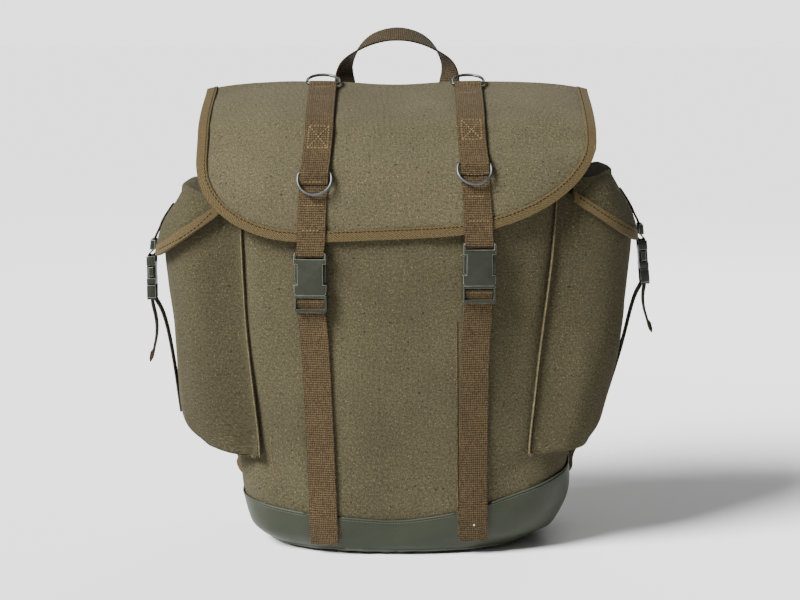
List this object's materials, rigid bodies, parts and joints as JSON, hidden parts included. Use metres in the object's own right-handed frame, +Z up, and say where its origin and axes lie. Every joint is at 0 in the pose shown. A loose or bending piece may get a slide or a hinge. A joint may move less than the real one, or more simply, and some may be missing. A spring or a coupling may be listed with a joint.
{
  "type": "backpack",
  "caption": "Canvas rucksack with a bulging main bag, a bound lid held by webbing straps and side-release buckles, bound side pockets and padded shoulder straps",
  "frame": {"origin": "middle of the bag's flat underside, on the floor", "axes": "+X to the right seen from the front, +Y from the front to the back panel, +Z up"},
  "size_m": [0.5586, 0.2693, 0.5649],
  "materials": {
    "canvas": "olive cotton canvas, plain weave",
    "lid_canvas": "the same canvas, lit from above",
    "pocket_canvas": "olive cotton canvas, plain weave",
    "coated_cloth": "smooth coated cloth, grey green",
    "binding_tape": "brown cotton binding tape, ribbed",
    "webbing": "ochre brown cotton webbing, ribbed",
    "dark_webbing": "brown cotton webbing, ribbed",
    "buckle_plastic": "dark grey green moulded plastic",
    "steel_ring": "dull grey bent steel wire",
    "shoulder_canvas": "olive canvas over padding"
  },
  "bodies": {
    "bag": {"main_bag": "canvas", "boot": "coated_cloth", "lid": "lid_canvas", "lid_binding": "binding_tape", "carry_handle": "dark_webbing", "overlay_strap_left": "webbing", "lid_strap_left": "webbing", "body_strap_left": "webbing", "buckle_socket_left": "buckle_plastic", "buckle_plug_left": "buckle_plastic", "pocket_left": "pocket_canvas", "pocket_lid_left": "pocket_canvas", "pocket_lid_binding_left": "binding_tape", "pocket_strap_left": "dark_webbing", "pocket_keeper_left": "buckle_plastic", "pocket_buckle_socket_left": "buckle_plastic", "pocket_buckle_plug_left": "buckle_plastic", "pocket_lower_strap_left": "dark_webbing", "shoulder_strap_left": "shoulder_canvas", "shoulder_tab_left": "webbing", "shoulder_adjuster_left": "buckle_plastic", "shoulder_webbing_left": "webbing", "overlay_strap_right": "webbing", "lid_strap_right": "webbing", "body_strap_right": "webbing", "buckle_socket_right": "buckle_plastic", "buckle_plug_right": "buckle_plastic", "pocket_right": "pocket_canvas", "pocket_lid_right": "pocket_canvas", "pocket_lid_binding_right": "binding_tape", "pocket_strap_right": "dark_webbing", "pocket_keeper_right": "buckle_plastic", "pocket_buckle_socket_right": "buckle_plastic", "pocket_buckle_plug_right": "buckle_plastic", "pocket_lower_strap_right": "dark_webbing", "shoulder_strap_right": "shoulder_canvas", "shoulder_tab_right": "webbing", "shoulder_adjuster_right": "buckle_plastic", "shoulder_webbing_right": "webbing"},
    "d_ring_left": {"d_ring_left": "steel_ring"},
    "d_ring_right": {"d_ring_right": "steel_ring"},
    "top_ring_left": {"top_ring_left": "steel_ring"},
    "top_ring_right": {"top_ring_right": "steel_ring"}
  },
  "joints": [
    {"name": "d_ring_left_swing", "type": "hinge", "parent": "bag", "child": "d_ring_left", "pos_m": [-0.08638, -0.11115, 0.4169], "axis": [-0.999, 0.0413, -0.0193], "range_deg": [0, 150]},
    {"name": "d_ring_right_swing", "type": "hinge", "parent": "bag", "child": "d_ring_right", "pos_m": [0.08171, -0.10622, 0.42631], "axis": [-0.9993, -0.0312, 0.0198], "range_deg": [0, 150]},
    {"name": "top_ring_left_swing", "type": "hinge", "parent": "bag", "child": "top_ring_left", "pos_m": [-0.08262, 0.03998, 0.50267], "axis": [0.9999, 0.0032, -0.0128], "range_deg": [0, 140]},
    {"name": "top_ring_right_swing", "type": "hinge", "parent": "bag", "child": "top_ring_right", "pos_m": [0.0789, 0.03998, 0.50261], "axis": [0.9999, -0.0041, 0.0166], "range_deg": [0, 140]}
  ]
}
